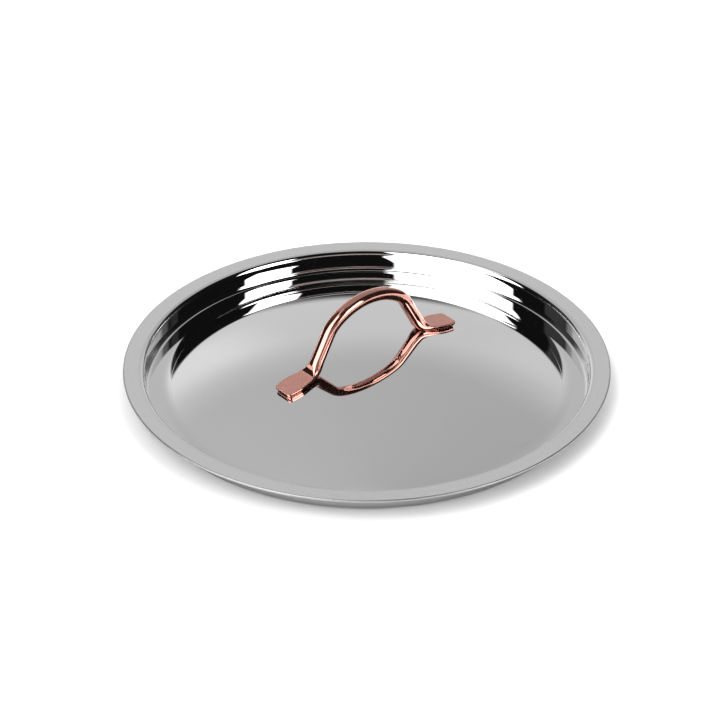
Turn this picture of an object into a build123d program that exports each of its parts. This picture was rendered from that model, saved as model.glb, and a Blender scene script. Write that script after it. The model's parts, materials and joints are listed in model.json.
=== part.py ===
"""Pressed steel lid for a 200 mm saucepan, with a cast bronze arch handle.

Millimetres, +Z up. The origin is on the lid's axis, in the plane of the table that
the lid stands on, so the channel's underside is at Z = 0. The handle runs along X.
"""
import os
from math import asin, cos, degrees, radians, sin, sqrt, tan

from build123d import *

# Lid shell: one sheet, pressed to an even thickness
sheet = 1.2
flange_radius = 108.0
flange_edge_round = 0.5
flange_bend = 2.2                 # top of the bend from flange to wall
wall_inner_radius = 98.5          # its outside is a loose fit in a 200 mm pan
wall_depth = 9.8                  # flange's top to the channel's floor
channel_bend = 2.0                # inside of the bend from wall to channel
dome_foot_radius = 91.6           # where the channel's floor starts to rise
dome_foot_bend = 12.3
dome_rise = 18.1                  # channel's floor to the dome's crown

# Handle: one casting, a round arch that flattens into a tongue at each foot
bar_width = 6.2
bar_height = 5.6
bar_corner = 2.7
crown_height = 45.3               # middle of the bar above the table
crown_radius = 31.0
crown_angle = 34.0
shoulder_radius = 15.0
leg_angle = 61.0
foot_radius = 6.5
half_length = 48.2
pad_thickness = 2.2
pad_sink = 0.8                    # cast into the dome's place, then trimmed to it
pad_corner = 0.5
instep_width = 6.9
instep_height = 4.9
instep_corner = 2.0
neck_width = 8.6
neck_height = 3.3
ball_width = 11.6                 # widest part of the tongue
ball_offset = 42.0
pad_end_width = 9.6
pad_end_round = 3.0

# Tenons cast under the pads, each closed over a washer beneath the dome
tenon_offset = 41.0
tenon_radius = 2.2
tenon_root = 1.0                  # how far the tenon's cylinder runs into the pad
washer_radius = 4.8
washer_hole_radius = 2.45
washer_thickness = 0.8
head_radius = 3.4
head_height = 1.3
head_round = 0.8

floor_z = sheet
flange_z = floor_z + wall_depth
crown_z = floor_z + dome_rise
dome_radius = (dome_foot_radius**2 + dome_rise**2) / (2 * dome_rise) - dome_foot_bend
dome_edge_radius = dome_foot_radius * dome_radius / (dome_radius + dome_foot_bend)
dome_centre_z = crown_z - dome_radius


def dome_z(radius):
    """Height of the dome's top surface at a distance from the lid's axis."""
    return dome_centre_z + sqrt(dome_radius**2 - radius**2)


# Lid shell: the top surface's outline, thickened downwards by the sheet
with BuildPart() as lid_shell:
    with BuildSketch(Plane.XZ) as section:
        with BuildLine():
            dome_edge = (dome_edge_radius, dome_z(dome_edge_radius))
            dome = RadiusArc((0, crown_z), dome_edge, dome_radius)
            foot = RadiusArc(dome_edge, (dome_foot_radius, floor_z), -dome_foot_bend)
            floor = Line(foot @ 1, (wall_inner_radius - channel_bend, floor_z))
            bend_end = (wall_inner_radius, floor_z + channel_bend)
            lower_bend = RadiusArc(floor @ 1, bend_end, -channel_bend)
            wall = Line(lower_bend @ 1, (wall_inner_radius, flange_z - flange_bend))
            bend_end = (wall_inner_radius + flange_bend, flange_z)
            upper_bend = RadiusArc(wall @ 1, bend_end, flange_bend)
            flange = Line(upper_bend @ 1, (flange_radius, flange_z))
            top = [dome, foot, floor, lower_bend, wall, upper_bend, flange]
            offset(top, amount=sheet, side=Side.RIGHT)
        make_face()
        fillet(section.vertices().group_by(Axis.X)[-1], flange_edge_round)
    revolve(axis=Axis.Z)
    with Locations((tenon_offset, 0, crown_z), (-tenon_offset, 0, crown_z)):
        Hole(tenon_radius)
lid_shell.part.label = "lid_shell"


# Handle's centre line, from the crown down one leg and out along one pad
tilt = degrees(asin(tenon_offset / dome_radius))
leg_top_x = (
    crown_radius * sin(radians(crown_angle))
    + shoulder_radius * (sin(radians(leg_angle)) - sin(radians(crown_angle)))
)
leg_top_z = (
    crown_height
    - crown_radius * (1 - cos(radians(crown_angle)))
    - shoulder_radius * (cos(radians(crown_angle)) - cos(radians(leg_angle)))
)
pad_middle_z = dome_z(tenon_offset) + pad_thickness / 2
leg_drop = (leg_top_z - pad_middle_z) * cos(radians(tilt))
leg_reach = (tenon_offset - leg_top_x) * sin(radians(tilt))
leg_to_corner = (leg_drop - leg_reach) / sin(radians(leg_angle - tilt))
leg_length = leg_to_corner - foot_radius * tan(radians(leg_angle - tilt) / 2)

with BuildLine(Plane.XZ) as half_path:
    crown = JernArc((0, crown_height), (1, 0), crown_radius, -crown_angle)
    shoulder_turn = crown_angle - leg_angle
    shoulder = JernArc(crown @ 1, crown % 1, shoulder_radius, shoulder_turn)
    leg = PolarLine(shoulder @ 1, leg_length, -leg_angle)
with BuildLine(Plane.XZ) as foot_path:
    instep = JernArc(leg @ 1, leg % 1, foot_radius, leg_angle - tilt)
    reach = half_length - (instep @ 1).X
    tongue = PolarLine(instep @ 1, reach, -tilt, length_mode=LengthMode.HORIZONTAL)


def across(line, place):
    """Plane square to a line at a place from 0 to 1, its own X across the lid."""
    return Plane(origin=line @ place, x_dir=(0, 1, 0), z_dir=line % place)


# A flat washer's rim touches the inside of the dome all round
washer_top_radius = sqrt((dome_radius - sheet) ** 2 - washer_radius**2)
washer_top_rise = sqrt(washer_top_radius**2 - tenon_offset**2)


def washer_plane(side):
    """Plane of a washer's top face, on the tenon's axis at that side of the lid."""
    centre = (side * tenon_offset, 0, dome_centre_z + washer_top_rise)
    return Plane(origin=centre, z_dir=(side * tenon_offset, 0, washer_top_rise))


head_plane = washer_plane(1).offset(-washer_thickness)
tenon_foot_z = head_plane.origin.Z - head_height / 2
tenon_top_z = dome_z(tenon_offset) + tenon_root
ball_place = (ball_offset - (instep @ 1).X) / reach
pad_sections = {
    0: (neck_width, neck_height),
    ball_place: (ball_width, pad_thickness),
    1: (pad_end_width, pad_thickness),
}

# Handle: half an arch and one pad, bedded on the dome, with its tenon and head, mirrored
with BuildPart() as handle:
    with BuildSketch(across(crown, 0)):
        RectangleRounded(bar_width, bar_height, bar_corner)
    sweep(path=half_path.wires()[0])
    with BuildSketch(across(instep, 0)):
        RectangleRounded(bar_width, bar_height, bar_corner)
    with BuildSketch(across(instep, 0.5)):
        RectangleRounded(instep_width, instep_height, instep_corner)
    for place, (width, height) in pad_sections.items():
        with BuildSketch(across(tongue, place)):
            with Locations((0, -pad_sink / 2)):
                RectangleRounded(width, height + pad_sink, pad_corner)
    loft()
    with BuildSketch():
        RectangleRounded(2 * half_length, ball_width, pad_end_round)
    extrude(amount=crown_height + bar_height, mode=Mode.INTERSECT)
    with BuildSketch(Plane.XZ):
        with BuildLine():
            surface = RadiusArc((0, crown_z), dome_edge, dome_radius)
            Polyline(surface @ 1, (0, dome_z(dome_edge_radius)), (0, crown_z))
        make_face()
    revolve(axis=Axis.Z, mode=Mode.SUBTRACT)
    with BuildSketch(head_plane):
        Circle(head_radius)
    extrude(amount=-head_height)
    with BuildSketch(Plane.XY.offset(tenon_foot_z)):
        with Locations((tenon_offset, 0)):
            Circle(tenon_radius)
    extrude(amount=tenon_top_z - tenon_foot_z)
    fillet(handle.edges().filter_by(GeomType.CIRCLE).group_by(Axis.Z)[0], head_round)
    mirror(about=Plane.YZ)
handle.part.label = "handle"

os.makedirs("parts", exist_ok=True)
export_step(lid_shell.part, "parts/lid_shell.step")
export_step(handle.part, "parts/handle.step")

# Washers: one under the dome at each tenon
for side, name in ((-1, "washer_left"), (1, "washer_right")):
    with BuildPart() as washer:
        with BuildSketch(washer_plane(side)):
            Circle(washer_radius)
            Circle(washer_hole_radius, mode=Mode.SUBTRACT)
        extrude(amount=-washer_thickness)
    washer.part.label = name
    export_step(washer.part, f"parts/{name}.step")
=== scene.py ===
"""Looks of a pressed steel saucepan lid with a polished bronze arch handle.

Metres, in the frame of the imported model: the lid stands on the table at Z = 0, its axis
is Z and the handle runs along X. The shell and the handle are rebuilt as fine meshes on
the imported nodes' sizes, and the two washers keep their own meshes.
"""

import json
from math import asin, cos, degrees, pi, radians, sin, sqrt, tan

import bmesh
import bpy
import numpy as np
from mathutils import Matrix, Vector


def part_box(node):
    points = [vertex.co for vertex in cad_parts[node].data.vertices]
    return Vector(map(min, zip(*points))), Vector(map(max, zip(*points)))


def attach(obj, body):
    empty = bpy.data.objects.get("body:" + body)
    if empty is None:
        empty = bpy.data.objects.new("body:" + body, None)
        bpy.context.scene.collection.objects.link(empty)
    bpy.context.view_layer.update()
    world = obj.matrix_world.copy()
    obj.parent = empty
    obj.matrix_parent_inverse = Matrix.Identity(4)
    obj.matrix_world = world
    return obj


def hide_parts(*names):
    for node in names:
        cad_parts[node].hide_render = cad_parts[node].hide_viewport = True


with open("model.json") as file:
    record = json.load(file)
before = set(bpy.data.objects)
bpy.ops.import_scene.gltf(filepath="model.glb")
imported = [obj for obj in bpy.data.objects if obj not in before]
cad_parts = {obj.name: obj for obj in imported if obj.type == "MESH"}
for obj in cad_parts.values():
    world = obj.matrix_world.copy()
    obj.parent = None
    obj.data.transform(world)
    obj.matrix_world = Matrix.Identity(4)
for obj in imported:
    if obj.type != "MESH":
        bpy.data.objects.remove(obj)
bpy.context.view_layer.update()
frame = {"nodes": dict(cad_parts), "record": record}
shell_low, shell_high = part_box("lid_shell")
handle_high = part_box("handle")[1]
mounts = {mount["name"]: mount for mount in frame["record"]["mounts"]}
skirt_radius = mounts["pan_skirt"]["dims"]["r_mm"] / 1000
rim_underside = mounts["rim_seat"]["pos_m"][2]

# Shell, from its rim inwards
sheet = 0.0012
rim_radius = shell_high.x
rim_z = rim_underside + sheet
rim_edge_round = 0.0005
rim_bend = 0.0022
wall_radius = skirt_radius - sheet
channel_bend = 0.0020
channel_z = shell_low.z + sheet
foot_radius = 0.0916              # where the channel's floor starts to rise
foot_bend = 0.0123
crown_z = shell_high.z
dome_rise = crown_z - channel_z
dome_radius = (foot_radius**2 + dome_rise**2) / (2 * dome_rise) - foot_bend
dome_edge_angle = asin(foot_radius / (dome_radius + foot_bend))
dome_centre_z = crown_z - dome_radius

# Shell's mesh: points along each part of its profile, and segments round the axis
dome_points = 40
foot_points = 18
bend_points = 16
rim_points = 6
edge_points = 8
rim_gap = 0.0004                  # from the rim's bend to the rim's first point
shell_segments = 300
polished, satin, sheared, brushed = range(4)      # the shell's bands, by material

# Handle
bar_width = 0.0062
bar_height = 0.0056
bar_corner = 0.0026
arch_top = handle_high.z - bar_height / 2         # middle of the bar at the crown
arch_radius = 0.031
arch_angle = radians(34)
shoulder_radius = 0.015
leg_angle = radians(61)
instep_radius = 0.0065
half_length = handle_high.x
neck_width = 0.0086
tongue_width = 2 * handle_high.y
tongue_end_width = 0.0096
tongue_thickness = 0.0022
tongue_sink = 0.0004              # below the dome's surface, before it is laid on the dome
tongue_corner = 0.00035
tongue_end_round = 0.0014
tongue_under_round = 0.0016
tongue_under_width = 0.0026
ball_x = 0.042                    # where the tongue is widest
tenon_offset = 0.041

# How far before the instep's start, and after its end, the bar changes to the tongue
flattening = (0.0014, 0.0016)
widening = (0.0045, 0.0008)
sharpening = (0.0008, 0.0006)
flare_start = 0.0010              # after the instep's start
taper_end = 0.0025                # beyond the tongue's end
satin_start = 0.00115             # before the instep's end

# Handle's mesh: steps along its centre line, and round its section
path_step = 0.0001
blend_steps = 31                  # over which the centre line's bends run into each other
ring_steps = 3
end_steps = 18                    # with a ring at each step, for the tongue's rounded end
corner_steps = 8
side_steps = 6
side_share = 0.98                 # most of a side's height that a lower corner takes up

# Tenons under the tongues, closed over washers beneath the dome
tenon_radius = 0.0022
tenon_length = 0.0031
washer_radius = 0.0048
washer_thickness = 0.0008
head_radius = 0.0034
head_height = 0.0013
head_round = 0.0008
head_round_points = 7
tenon_segments = 40

# View
view_azimuth = -39.85
view_elevation = 32.05
view_distance = 1.62
view_lens = 182.7
view_shift = (-0.0095, 0.0055)


# ---------------------------------------------------------------- node helpers

def add(tree, kind, inputs=None, **settings):
    """A shader node with its settings made and its inputs set or linked."""
    made = tree.nodes.new(kind)
    for key, value in settings.items():
        setattr(made, key, value)
    for key, value in (inputs or {}).items():
        if isinstance(value, bpy.types.NodeSocket):
            tree.links.new(value, made.inputs[key])
        else:
            made.inputs[key].default_value = value
    return made


def maths(tree, operation, *values):
    """Output of a Math node on numbers or sockets."""
    return add(tree, "ShaderNodeMath", dict(enumerate(values)), operation=operation).outputs[0]


def vector_maths(tree, operation, *values):
    """Output of a Vector Math node: a number for a length or a dot product, else a vector."""
    made = add(tree, "ShaderNodeVectorMath", dict(enumerate(values)), operation=operation)
    return made.outputs["Value" if operation in ("LENGTH", "DOT_PRODUCT") else "Vector"]


def ramp(tree, value, low, high, to_low=0.0, to_high=1.0):
    """A value's smooth passage from one level to another between two of its values."""
    inputs = {"Value": value, "From Min": low, "From Max": high, "To Min": to_low, "To Max": to_high}
    return add(tree, "ShaderNodeMapRange", inputs, interpolation_type="SMOOTHSTEP").outputs["Result"]


def noise(tree, vector, scale, detail=3.0, roughness=0.5):
    """Grey noise at a scale, from 0 to 1 about 0.5."""
    inputs = {"Vector": vector, "Scale": scale, "Detail": detail, "Roughness": roughness}
    return add(tree, "ShaderNodeTexNoise", inputs).outputs["Fac"]


def tint(tree, value, low, high):
    """A colour between two, by a value from 0 to 1."""
    mix = add(tree, "ShaderNodeMix", {"Factor": value}, data_type="RGBA")
    first, second = (socket for socket in mix.inputs if socket.type == "RGBA")
    first.default_value = (*low, 1)
    second.default_value = (*high, 1)
    return next(socket for socket in mix.outputs if socket.type == "RGBA")


def ring_coordinates(tree, place, across, along):
    """Coordinates by distance from the lid's axis and by turn, for marks that run round it."""
    spoke = vector_maths(tree, "MULTIPLY", place, (1, 1, 0))
    length = vector_maths(tree, "LENGTH", spoke)
    turn = vector_maths(tree, "MULTIPLY", vector_maths(tree, "NORMALIZE", spoke), (along,) * 3)
    height = add(tree, "ShaderNodeSeparateXYZ", {0: place}).outputs["Z"]
    level = maths(tree, "MULTIPLY_ADD", height, across, maths(tree, "MULTIPLY", length, across))
    return vector_maths(tree, "ADD", turn, add(tree, "ShaderNodeCombineXYZ", {"Z": level}).outputs[0])


# ---------------------------------------------------------------- materials

def new_metal(name):
    """An empty metal material, its tree, its shader and the piece's own coordinates."""
    material = bpy.data.materials.new(name)
    material.use_nodes = True
    tree = material.node_tree
    shader = tree.nodes["Principled BSDF"]
    shader.inputs["Metallic"].default_value = 1.0
    place = add(tree, "ShaderNodeTexCoord").outputs["Object"]
    return material, tree, shader, place


def set_metal(tree, shader, colour, rough, relief, strength, depth):
    """Link a metal's colour and roughness, and its relief of a depth in metres."""
    bump = add(tree, "ShaderNodeBump", {"Height": relief, "Strength": strength, "Distance": depth})
    tree.links.new(colour, shader.inputs["Base Color"])
    tree.links.new(rough, shader.inputs["Roughness"])
    tree.links.new(bump.outputs[0], shader.inputs["Normal"])


def polished_steel():
    """Mirror polish with faint smudges and a few hairline marks from wiping."""
    material, tree, shader, place = new_metal("polished_steel")
    smudge = noise(tree, place, 28.0, 4.0, 0.6)
    wiping = noise(tree, ring_coordinates(tree, place, 900.0, 2.5), 1.0, 4.0, 0.6)
    marks = ramp(tree, wiping, 0.60, 0.74)
    smudged = ramp(tree, smudge, 0.42, 0.72, 0.012, 0.030)
    rough = maths(tree, "MULTIPLY_ADD", marks, 0.012, smudged)
    colour = tint(tree, smudge, (0.815, 0.815, 0.815), (0.775, 0.777, 0.780))
    set_metal(tree, shader, colour, rough, wiping, 0.012, 0.00002)
    return material


def satin_steel(name, low, high, strength, shade):
    """Steel brushed in rings round the axis, between two roughnesses and of a grey shade."""
    contrast = 0.06
    material, tree, shader, place = new_metal(name)
    brushing = noise(tree, ring_coordinates(tree, place, 5200.0, 4.0), 1.0, 5.0, 0.65)
    patches = noise(tree, place, 34.0)
    rough = maths(tree, "MULTIPLY_ADD", patches, 0.05, ramp(tree, brushing, 0.3, 0.7, low, high))
    colour = tint(tree, brushing, (shade * (1 - contrast),) * 3, (shade * (1 + contrast),) * 3)
    set_metal(tree, shader, colour, rough, brushing, strength, 0.00004)
    return material


def washer_steel():
    """Plain tumbled steel."""
    material, tree, shader, place = new_metal("washer_steel")
    grain = noise(tree, place, 900.0, 4.0)
    rough = ramp(tree, grain, 0.3, 0.7, 0.24, 0.42)
    colour = tint(tree, grain, (0.60, 0.60, 0.60), (0.74, 0.74, 0.75))
    set_metal(tree, shader, colour, rough, grain, 0.25, 0.00003)
    return material


def polished_bronze():
    """Pink bronze, buffed bright, in patches a little darker and duller."""
    material, tree, shader, place = new_metal("polished_bronze")
    cast = noise(tree, place, 90.0, 4.0, 0.6)
    fine = noise(tree, place, 700.0)
    rough = ramp(tree, cast, 0.35, 0.75, 0.020, 0.045)
    colour = tint(tree, cast, (0.61, 0.305, 0.25), (0.53, 0.24, 0.19))
    tree.links.new(ramp(tree, cast, 0.35, 0.75, 0.985, 0.96), shader.inputs["Metallic"])
    set_metal(tree, shader, colour, rough, fine, 0.02, 0.00003)
    return material


def satin_bronze():
    """The same bronze, linished along the tongues' tops."""
    material, tree, shader, place = new_metal("satin_bronze")
    stretched = vector_maths(tree, "MULTIPLY", place, (700, 4200, 700))
    brushing = noise(tree, stretched, 1.0, 4.0, 0.6)
    patches = noise(tree, place, 240.0)
    rough = maths(tree, "MULTIPLY_ADD", patches, 0.06, ramp(tree, brushing, 0.3, 0.7, 0.36, 0.50))
    colour = tint(tree, brushing, (0.68, 0.35, 0.29), (0.82, 0.44, 0.375))
    set_metal(tree, shader, colour, rough, brushing, 0.25, 0.00004)
    return material


# ---------------------------------------------------------------- lid shell

def new_piece(name, vertices, faces, materials, bands):
    """A smooth object from its vertices and faces, each face with its band's material."""
    mesh = bpy.data.meshes.new(name)
    mesh.from_pydata(vertices, [], faces)
    for material in materials:
        mesh.materials.append(material)
    mesh.polygons.foreach_set("material_index", bands)
    mesh.polygons.foreach_set("use_smooth", [True] * len(faces))
    piece = bpy.data.objects.new(name, mesh)
    bpy.context.scene.collection.objects.link(piece)
    return piece


def bend(centre, radius, start, end, count):
    """Points and normals round a bend of the profile; a hollow bend has a negative radius."""
    angles = np.radians(np.linspace(start, end, count))
    normals = np.stack([np.cos(angles), np.sin(angles)], 1)
    return np.array(centre) + radius * normals, normals


def shell_profile():
    """The closed profile from the crown outwards and back under the dome.

    Returns points (radius, height), their normals, and the band that starts at each point.
    """
    edge = 90 - degrees(dome_edge_angle)
    top = [
        bend((0, dome_centre_z), dome_radius, 90, edge, dome_points),
        bend((foot_radius, channel_z + foot_bend), -foot_bend, edge, 90, foot_points),
        bend((wall_radius - channel_bend, channel_z + channel_bend), -channel_bend, 90, 180, bend_points),
        bend((wall_radius + rim_bend, rim_z - rim_bend), rim_bend, 180, 90, bend_points),
    ]
    points = np.concatenate([part[0] for part in top])
    normals = np.concatenate([part[1] for part in top])
    rim_end = rim_radius - rim_edge_round
    rim_across = np.linspace(points[-1][0] + rim_gap, rim_end, rim_points)
    rim = np.stack([rim_across, np.full(rim_points, rim_z)], 1)
    rim_normals = np.array([(0, 1)] * rim_points)
    upper_centre = (rim_end, rim_z - rim_edge_round)
    upper, upper_normals = bend(upper_centre, rim_edge_round, 90, 0, edge_points)
    lower_centre = (rim_end, rim_z - sheet + rim_edge_round)
    lower, lower_normals = bend(lower_centre, rim_edge_round, 0, -90, edge_points)
    above = np.concatenate([points, rim[:-1]])
    above_normals = np.concatenate([normals, rim_normals[:-1]])
    under = (above - sheet * above_normals)[::-1]
    under_normals = -above_normals[::-1]
    bands = (
        [polished] * len(points)
        + [satin] * (len(rim) - 1)
        + [sheared] * (len(upper) + len(lower))
        + [brushed] * len(under)
    )
    return (
        np.concatenate([points, rim, upper[1:], lower, under]),
        np.concatenate([normals, rim_normals, upper_normals[1:], lower_normals, under_normals]),
        bands,
    )


def lid_shell(materials):
    """The shell, turned from its profile, with normals worked out from the profile."""
    points, normals, bands = shell_profile()
    angles = np.linspace(0, 2 * pi, shell_segments, endpoint=False)
    ring = np.stack([np.cos(angles), np.sin(angles)], 1)
    vertices = [(0, 0, points[0][1])]
    vertex_normals = [(0, 0, 1)]
    for (radius, height), (out, up) in zip(points[1:-1], normals[1:-1]):
        vertices += [(radius * x, radius * y, height) for x, y in ring]
        vertex_normals += [(out * x, out * y, up) for x, y in ring]
    last = len(vertices)
    vertices.append((0, 0, points[-1][1]))
    vertex_normals.append((0, 0, -1))
    rings = len(points) - 2
    around = [(k, (k + 1) % shell_segments) for k in range(shell_segments)]
    faces = [(0, 1 + k, 1 + n) for k, n in around]
    for j in range(rings - 1):
        a = 1 + j * shell_segments
        b = a + shell_segments
        faces += [(a + k, b + k, b + n, a + n) for k, n in around]
    a = last - shell_segments
    faces += [(a + k, last, a + n) for k, n in around]
    face_bands = [band for band in (polished, *bands[1:rings], brushed) for k in range(shell_segments)]
    piece = new_piece("shell", vertices, faces, materials, face_bands)
    piece.data.normals_split_custom_set_from_vertices(vertex_normals)
    return piece


# ---------------------------------------------------------------- handle

def dome_z(radius):
    """Height of the dome's top surface."""
    return dome_centre_z + np.sqrt(dome_radius**2 - radius**2)


def centre_line():
    """Points of the handle's centre line from its crown to a tongue's end, evenly spaced.

    Returns the points' x and z, the line's slope at each, and the numbers of the points
    where the instep starts and where the tongue starts.
    """
    tilt = asin(tenon_offset / dome_radius)
    leg_top_x = arch_radius * sin(arch_angle) + shoulder_radius * (sin(leg_angle) - sin(arch_angle))
    arch_drop = arch_radius * (1 - cos(arch_angle))
    shoulder_drop = shoulder_radius * (cos(arch_angle) - cos(leg_angle))
    leg_top_z = arch_top - arch_drop - shoulder_drop
    tongue_z = float(dome_z(tenon_offset)) + tongue_thickness / 2
    drop = (leg_top_z - tongue_z) * cos(tilt) - (tenon_offset - leg_top_x) * sin(tilt)
    leg_length = drop / sin(leg_angle - tilt) - instep_radius * tan((leg_angle - tilt) / 2)

    # Bends as radius and turn, and the straight leg as length and no turn
    runs = (
        (arch_radius, arch_angle),
        (shoulder_radius, leg_angle - arch_angle),
        (leg_length, 0),
        (instep_radius, tilt - leg_angle),
    )
    slopes = []
    slope = 0.0
    run_ends = []
    for size, turn in runs:
        length = size * abs(turn) if turn else size
        count = round(length / path_step)
        slopes += list(slope + turn * (np.arange(count) + 0.5) / count)
        slope += turn
        run_ends.append(len(slopes))
    tongue_x = path_step * np.cos(slopes).sum()
    count = round((half_length - tongue_x) / cos(tilt) / path_step)
    slopes += [slope] * count

    window = np.hanning(blend_steps)
    window /= window.sum()
    margin = blend_steps // 2
    mirrored = -np.array(slopes[:margin])[::-1]
    smooth = np.convolve(np.concatenate([mirrored, slopes, [slope] * margin]), window, "valid")
    xs = np.concatenate([[0], np.cumsum(path_step * np.cos(smooth))])
    zs = arch_top - np.concatenate([[0], np.cumsum(path_step * np.sin(smooth))])
    zs += tongue_z - np.interp(tenon_offset, xs, zs)
    instep_start, tongue_start = run_ends[2:]
    return xs, zs, np.concatenate([[0], smooth]), instep_start, tongue_start


def section(half_width, top, bottom, upper, lower):
    """Outline of the bar at one place, as (across, up) pairs that start at its right side.

    It is a rectangle with upper corners of one radius, and lower corners that are as wide
    and as high as the pair of numbers says.
    """
    wide, high = lower
    corners = (
        (half_width - upper, top - upper, upper, upper, 0),
        (upper - half_width, top - upper, upper, upper, 90),
        (wide - half_width, bottom + high, wide, high, 180),
        (half_width - wide, bottom + high, wide, high, 270),
    )
    arcs = []
    for across, up, reach, rise, start in corners:
        angles = np.radians(np.linspace(start, start + 90, corner_steps + 1))
        arcs.append(np.stack([across + reach * np.cos(angles), up + rise * np.sin(angles)], 1))
    shares = np.arange(1, side_steps)[:, None] / side_steps
    outline = []
    for arc, following in zip(arcs, arcs[1:] + arcs[:1]):
        outline += [arc, arc[-1] * (1 - shares) + following[0] * shares]
    return np.concatenate(outline)


def ease(value, low, high):
    """Smooth step from 0 to 1."""
    share = np.clip((value - low) / (high - low), 0, 1)
    return share * share * (3 - 2 * share)


def rounding(radius, distance):
    """How far a round of a radius has fallen back at a distance from its end."""
    return radius - sqrt(radius**2 - max(0.0, radius - distance) ** 2)


def handle_rings():
    """Rings of points from the crown to a tongue's end, and whether each lies on the tongue."""
    xs, zs, slopes, instep_start, tongue_start = centre_line()
    last = len(xs) - 1
    instep_at = instep_start * path_step
    tongue_at = tongue_start * path_step
    ball_at = int(np.argmin(abs(xs - ball_x))) * path_step
    end_at = last * path_step

    def change(place, reach):
        """How far the bar has changed to the tongue at a place, from 0 to 1."""
        before, after = reach
        return ease(place, instep_at - before, tongue_at + after)

    rings = []
    on_tongue = []
    for i in [*range(0, last - end_steps, ring_steps), *range(last - end_steps, last + 1)]:
        at = i * path_step
        to_end = (last - i) * path_step
        flat = change(at, flattening)
        half_width = bar_width / 2 + (neck_width - bar_width) / 2 * change(at, widening)
        half_width += (tongue_width - neck_width) / 2 * ease(at, instep_at + flare_start, ball_at)
        half_width -= (tongue_width - tongue_end_width) / 2 * ease(at, ball_at, end_at + taper_end)
        half_width -= rounding(tongue_end_round, to_end) + rounding(tongue_corner, to_end)
        top = bar_height / 2 + (tongue_thickness - bar_height) / 2 * flat
        top -= rounding(tongue_corner, to_end)
        bottom = -bar_height / 2 + (bar_height / 2 - tongue_thickness / 2 - tongue_sink) * flat
        bottom += (top - tongue_corner - bottom) * rounding(1, to_end / tongue_under_round)
        upper = bar_corner + (tongue_corner - bar_corner) * change(at, sharpening)
        lower_wide = bar_corner + (tongue_under_width - bar_corner) * flat
        lower_high = min(bar_corner, (top - bottom - upper) * side_share)
        y, up = section(half_width, top, bottom, upper, (lower_wide, lower_high)).T
        x = xs[i] + up * sin(slopes[i])
        z = np.maximum(zs[i] + up * cos(slopes[i]), dome_z(np.hypot(x, y)))
        rings.append(np.stack([x, y, z], 1))
        on_tongue.append(at > tongue_at - satin_start)
    return rings, on_tongue


def tenon(side):
    """Vertices and faces of the tenon under one tongue, with its head, turned on its axis."""
    reach = sqrt((dome_radius - sheet) ** 2 - washer_radius**2)
    rise = sqrt(reach**2 - tenon_offset**2)
    axis = Vector((side * tenon_offset, 0, rise)).normalized()
    across = Vector((0, 1, 0))
    along = across.cross(axis)
    head_top = Vector((side * tenon_offset, 0, dome_centre_z + rise)) - axis * washer_thickness
    outline = [(tenon_radius, tenon_length), (tenon_radius, 0.0), (head_radius, 0.0)]
    for angle in np.radians(np.linspace(0, 90, head_round_points)):
        radius = head_radius - head_round * (1 - cos(angle))
        outline.append((radius, head_round * (1 - sin(angle)) - head_height))
    vertices = []
    for radius, height in outline:
        for turn in np.linspace(0, 2 * pi, tenon_segments, endpoint=False):
            spoke = across * cos(turn) + along * sin(turn)
            vertices.append(tuple(head_top + axis * height + spoke * radius))
    count = len(vertices)
    faces = [tuple(range(tenon_segments)), tuple(range(count - tenon_segments, count))[::-1]]
    for j in range(len(outline) - 1):
        a = j * tenon_segments
        b = a + tenon_segments
        for k in range(tenon_segments):
            n = (k + 1) % tenon_segments
            faces.append((a + k, a + n, b + n, b + k))
    return vertices, faces


def handle(materials):
    """The arch and its tongues in one closed skin, with the tenons; the tongues' tops are satin."""
    half, half_on_tongue = handle_rings()
    rings = [ring * (-1, 1, 1) for ring in half[:0:-1]] + half
    on_tongue = half_on_tongue[:0:-1] + half_on_tongue
    vertices = np.concatenate(rings).tolist()
    count = len(rings[0])
    top_sides = range(corner_steps, corner_steps + side_steps)
    faces = []
    bands = []
    for j in range(len(rings) - 1):
        a = j * count
        b = a + count
        for k in range(count):
            n = (k + 1) % count
            faces.append((a + k, a + n, b + n, b + k))
            bands.append(1 if on_tongue[j] and on_tongue[j + 1] and k in top_sides else 0)
    faces.append(tuple(range(count))[::-1])
    faces.append(tuple(range(len(vertices) - count, len(vertices))))
    for side in (-1, 1):
        more, more_faces = tenon(side)
        faces += [tuple(len(vertices) + v for v in face) for face in more_faces]
        vertices += more
    bands += [0] * (len(faces) - len(bands))
    piece = new_piece("arch", vertices, faces, materials, bands)
    work = bmesh.new()
    work.from_mesh(piece.data)
    bmesh.ops.recalc_face_normals(work, faces=work.faces)
    work.to_mesh(piece.data)
    work.free()
    weights = piece.modifiers.new("even shading", "WEIGHTED_NORMAL")
    weights.weight = 100
    weights.keep_sharp = True
    return piece


# ---------------------------------------------------------------- studio

def camera():
    """A long lens on the middle of the rim."""
    turn = radians(view_azimuth)
    lift = radians(view_elevation)
    back = Vector((sin(turn) * cos(lift), -cos(turn) * cos(lift), sin(lift)))
    data = bpy.data.cameras.new("camera")
    data.lens = view_lens
    data.shift_x, data.shift_y = view_shift
    data.clip_end = 50
    made = bpy.data.objects.new("camera", data)
    made.location = Vector((0, 0, rim_z)) + back * view_distance
    made.rotation_mode = "QUATERNION"
    made.rotation_quaternion = (-back).to_track_quat("-Z", "Y")
    bpy.context.scene.collection.objects.link(made)
    bpy.context.scene.camera = made


def patch(tree, azimuth, elevation, sides, heights, soft):
    """Share of a soft-edged rectangle of sky between two azimuths and two elevations."""
    share = 1.0
    for value, (low, high) in ((azimuth, sides), (elevation, heights)):
        rise = ramp(tree, value, low - soft, low + soft)
        fall = ramp(tree, value, high - soft, high + soft, 1.0, 0.0)
        share = maths(tree, "MULTIPLY", share, maths(tree, "MULTIPLY", rise, fall))
    return share


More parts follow.
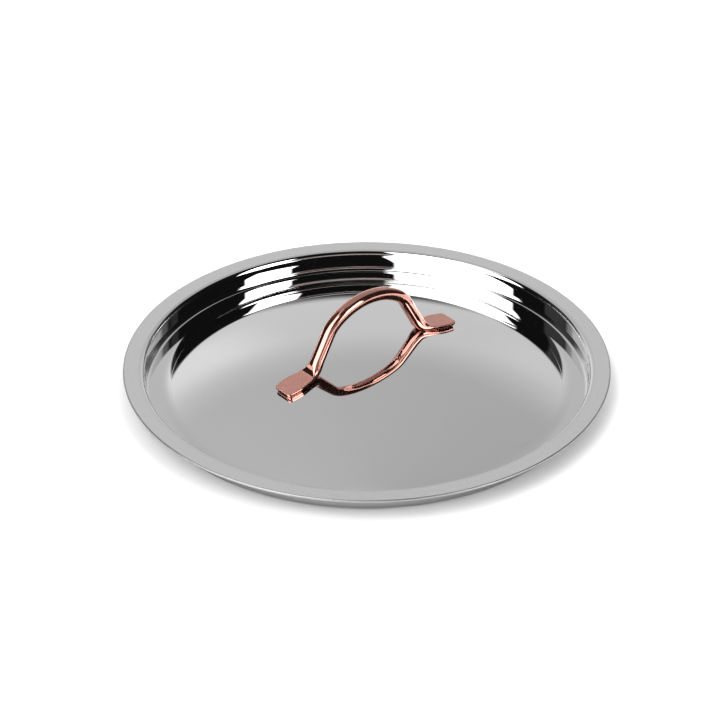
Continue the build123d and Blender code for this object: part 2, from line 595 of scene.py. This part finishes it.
def studio():
    """A dark studio with a grey sweep beyond the lid and white boxes beside the camera.

    Azimuths are in degrees from the way the camera faces, to its right, so 180 is behind
    it. The camera itself sees white behind the lid.
    """
    world = bpy.data.worlds.new("studio")
    bpy.context.scene.world = world
    world.use_nodes = True
    tree = world.node_tree
    background = tree.nodes["Background"]
    background.inputs["Color"].default_value = (1, 1, 1, 1)
    sky = add(tree, "ShaderNodeTexCoord").outputs["Generated"]
    to_facing = {"Vector": sky, "Angle": -radians(view_azimuth)}
    turned = add(tree, "ShaderNodeVectorRotate", to_facing, rotation_type="Z_AXIS").outputs[0]
    parts = add(tree, "ShaderNodeSeparateXYZ", {0: turned}).outputs
    azimuth = maths(tree, "DEGREES", maths(tree, "ARCTAN2", parts["X"], parts["Y"]))
    elevation = maths(tree, "DEGREES", maths(tree, "ARCSINE", parts["Z"]))

    # The sweep is darker higher up and to the right
    sweep = patch(tree, azimuth, elevation, (-50, 51), (3, 85), 3)
    sweep_level = ramp(tree, elevation, 22, 40, 0.68, 0.515)
    sweep_level = maths(tree, "MULTIPLY_ADD", azimuth, -0.0011, sweep_level)
    light = maths(tree, "MULTIPLY", sweep, sweep_level)

    # Azimuths, elevations, light added or taken away, and softness of the edges
    patches = (
        ((-165, -97), (6, 70), 4.0, 1.5),       # white box beside and behind the camera, left
        ((-104, -52), (58, 70), 1.6, 1.5),      # strip from its top, towards the sweep
        ((113, 139), (8, 44), 5.0, 1.5),        # white box behind the camera, right
        ((-72, -52), (-5, 62), 0.05, 2),        # dim margins beside the sweep
        ((54, 62), (-5, 50), 0.035, 2),
        ((-190, -166), (0, 27), 0.35, 3),       # low grey wall behind the camera, in two halves
        ((140, 190), (0, 27), 0.35, 3),
        ((-34, -14), (10, 26), 0.15, 6),        # brighter patches on the sweep
        ((16, 30), (12, 24), 0.04, 4),
        ((35, 51), (-9, 30), -0.46, 3),         # shaded sides of the sweep
        ((43, 51), (30, 46), -0.40, 3),
        ((-50, -43), (-9, 42), -0.36, 3),
        ((-181, 181), (80, 95), 0.10, 4),       # faint light straight above
    )
    for sides, heights, level, soft in patches:
        share = patch(tree, azimuth, elevation, sides, heights, soft)
        light = maths(tree, "MULTIPLY_ADD", share, level, light)
    darkest = 0.007
    light = maths(tree, "MAXIMUM", light, darkest)
    seen = add(tree, "ShaderNodeLightPath").outputs["Is Camera Ray"]
    tree.links.new(maths(tree, "MAXIMUM", light, seen), background.inputs["Strength"])


def overhead():
    """Broad soft light from above and the camera's right, which the metal doesn't mirror."""
    lean = 0.45
    turn = radians(view_azimuth)
    source = Vector((cos(turn) * lean, sin(turn) * lean, 1))
    data = bpy.data.lights.new("overhead", "SUN")
    data.energy = 2.2
    data.angle = radians(110)
    made = bpy.data.objects.new("overhead", data)
    made.rotation_euler = source.to_track_quat("Z", "Y").to_euler()
    made.visible_glossy = False
    bpy.context.scene.collection.objects.link(made)


def floor():
    """Plain pale floor with painted light: it glows a little away from the lid, so that it stays white,
    and is left dim round the rim as a painted shadow.
    """
    half = 6.0
    corners = [(-half, -half, 0), (half, -half, 0), (half, half, 0), (-half, half, 0)]
    mesh = bpy.data.meshes.new("floor")
    mesh.from_pydata(corners, [], [(0, 1, 2, 3)])
    made = bpy.data.objects.new("floor", mesh)
    bpy.context.scene.collection.objects.link(made)
    material = bpy.data.materials.new("floor")
    material.use_nodes = True
    mesh.materials.append(material)
    tree = material.node_tree
    shader = tree.nodes["Principled BSDF"]
    shader.inputs["Base Color"].default_value = (0.82, 0.82, 0.82, 1)
    shader.inputs["Roughness"].default_value = 0.9
    shader.inputs["Specular IOR Level"].default_value = 0.0
    shader.inputs["Emission Color"].default_value = (1, 1, 1, 1)

    # Painted light: a narrow rise at the rim out of a painted shadow round the lid, then a wide one that
    # is stronger towards the view's front
    place = add(tree, "ShaderNodeTexCoord").outputs["Object"]
    turn = radians(view_azimuth)
    away = vector_maths(tree, "LENGTH", place)
    toward = vector_maths(tree, "DOT_PRODUCT", place, (sin(turn), -cos(turn), 0))
    painted_rim_shadow_fade = ramp(tree, away, 0.107, 0.122, 0.0, 0.22)
    far = ramp(tree, away, 0.125, 0.18)
    far_level = ramp(tree, toward, -0.05, 0.20, 0.05, 0.20)
    # painted light on the floor, left dim round the rim as a painted shadow
    painted_floor_light = maths(tree, "MULTIPLY_ADD", far, far_level, painted_rim_shadow_fade)
    tree.links.new(painted_floor_light, shader.inputs["Emission Strength"])


# ---------------------------------------------------------------- assembly

shell = lid_shell([
    polished_steel(),
    satin_steel("satin_rim", low=0.24, high=0.34, strength=0.15, shade=0.85),
    # rim's edge darkened to a low grey: a painted dark line of shade along the rim
    satin_steel("sheared_edge", low=0.30, high=0.42, strength=0.3, shade=0.36),
    # underside and skirt darkened to a low grey: painted shade for the shadowed floor they mirror
    satin_steel("brushed_underside", low=0.12, high=0.20, strength=0.15, shade=0.33),
])
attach(shell, "root")
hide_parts("lid_shell")

arch = handle([polished_bronze(), satin_bronze()])
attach(arch, "root")
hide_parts("handle")

tumbled = washer_steel()
for name in ("washer_left", "washer_right"):
    node = frame["nodes"][name]
    node.data.materials.clear()
    node.data.materials.append(tumbled)

camera()
studio()
overhead()
floor()
bpy.context.scene.view_settings.view_transform = "Standard"
